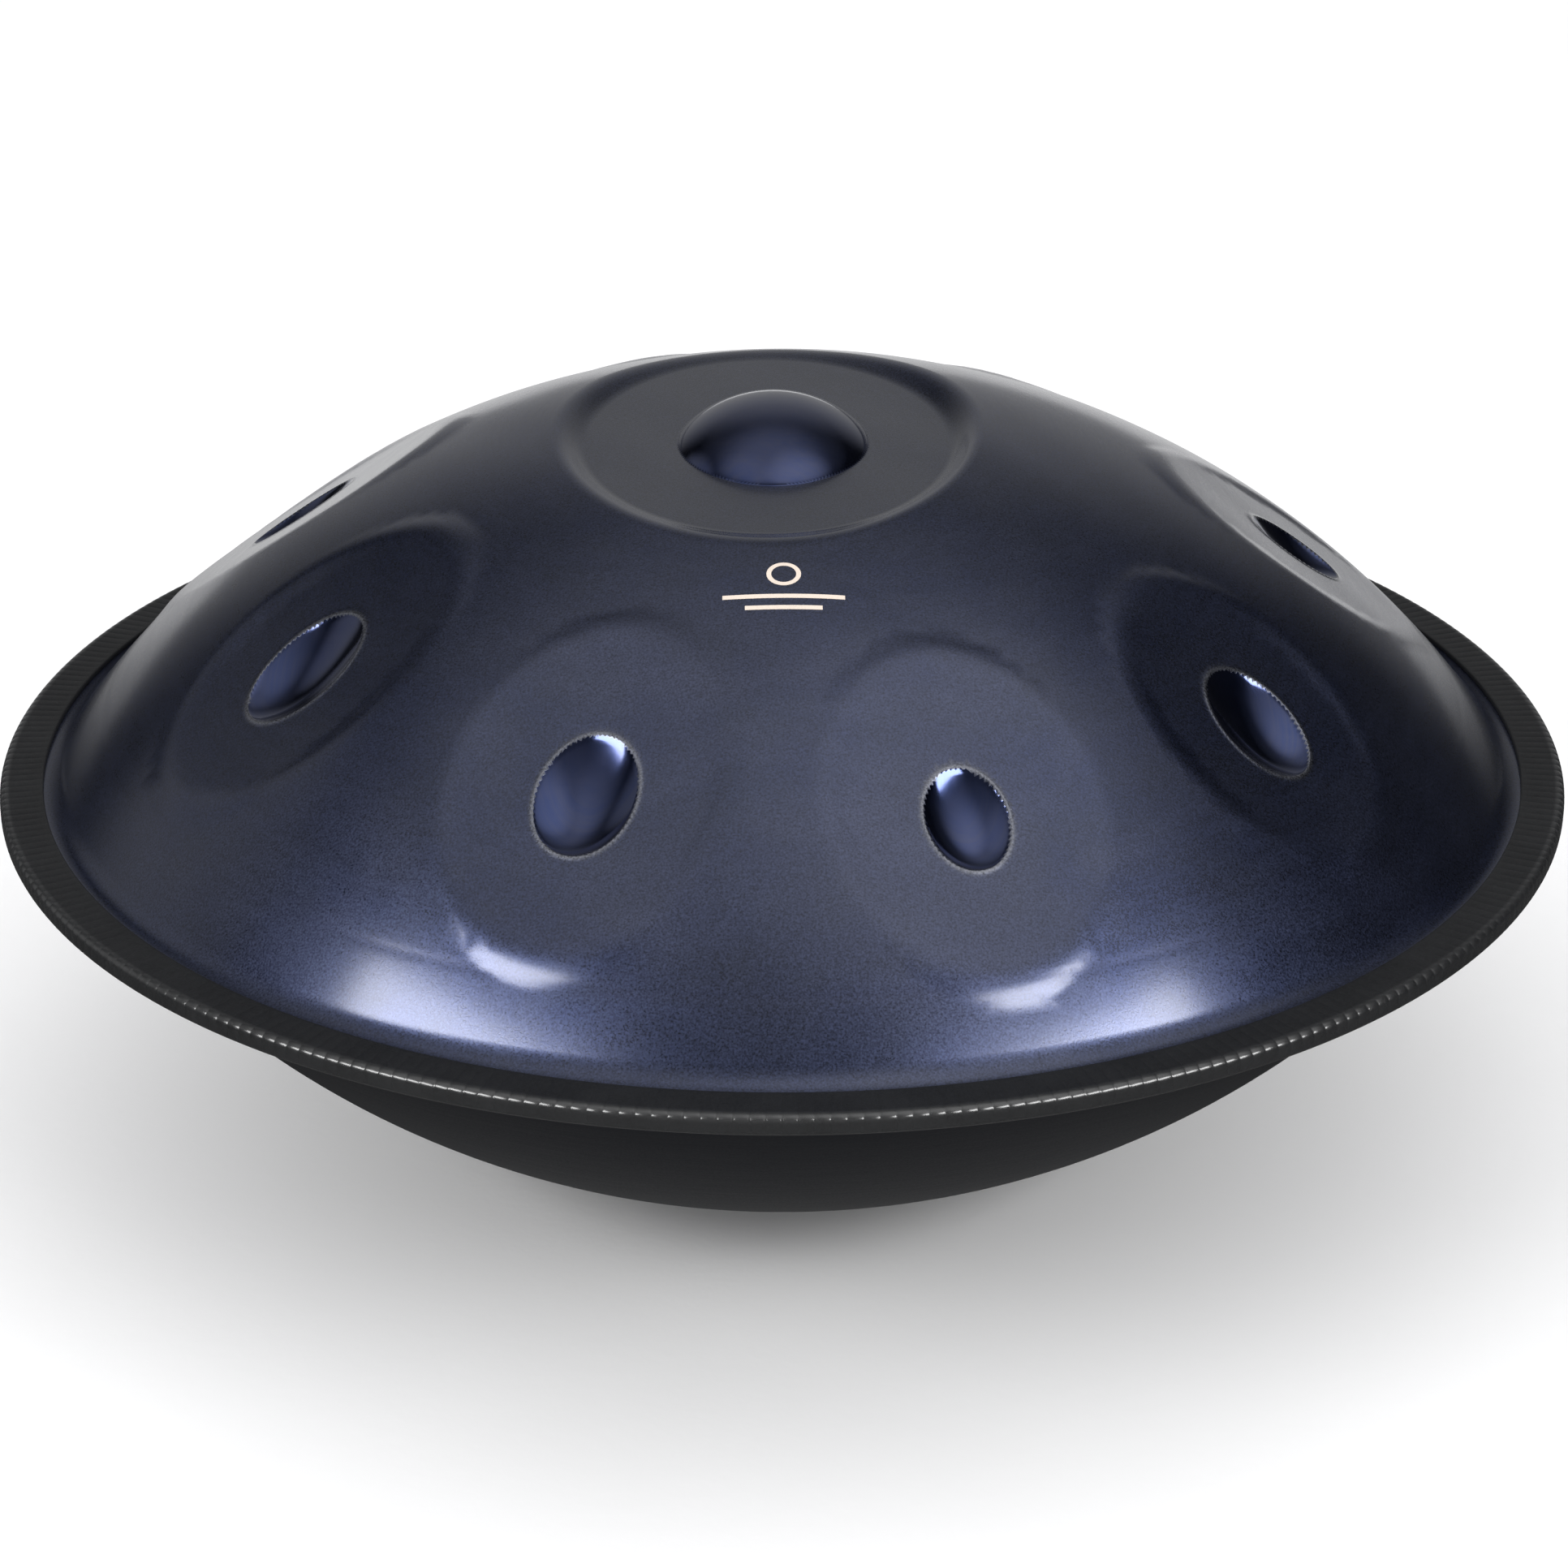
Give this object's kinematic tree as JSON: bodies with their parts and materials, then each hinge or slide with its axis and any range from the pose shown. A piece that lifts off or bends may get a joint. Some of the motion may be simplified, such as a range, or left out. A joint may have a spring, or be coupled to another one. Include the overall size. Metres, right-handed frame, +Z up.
{
  "type": "handpan",
  "caption": "Lens-shaped steel hand drum: domed shell with oval dimpled notes around a raised centre note, bowl shell with a round port, and a ribbed rim trim.",
  "frame": {"origin": "on the pan's vertical axis, in the plane of the flat ring around the sound port that the pan rests on", "axes": "+Z up through the centre note, -Y towards the front, where the printed mark is, and +X on the right of someone looking at that side"},
  "size_m": [0.54, 0.54, 0.263],
  "materials": {
    "nitrided_top": "dark blue nitrided steel with fine circular brushing",
    "nitrided_bottom": "blue-black nitrided steel, satin",
    "glue": "cured structural adhesive",
    "trim_plastic": "dark grey leather-grained soft plastic with fine cross ribs",
    "core_steel": "plain strip steel"
  },
  "bodies": {
    "root": {"top_shell": "nitrided_top", "bottom_shell": "nitrided_bottom", "glue_ring": "glue", "trim_jacket": "trim_plastic", "trim_core": "core_steel"}
  },
  "joints": []
}
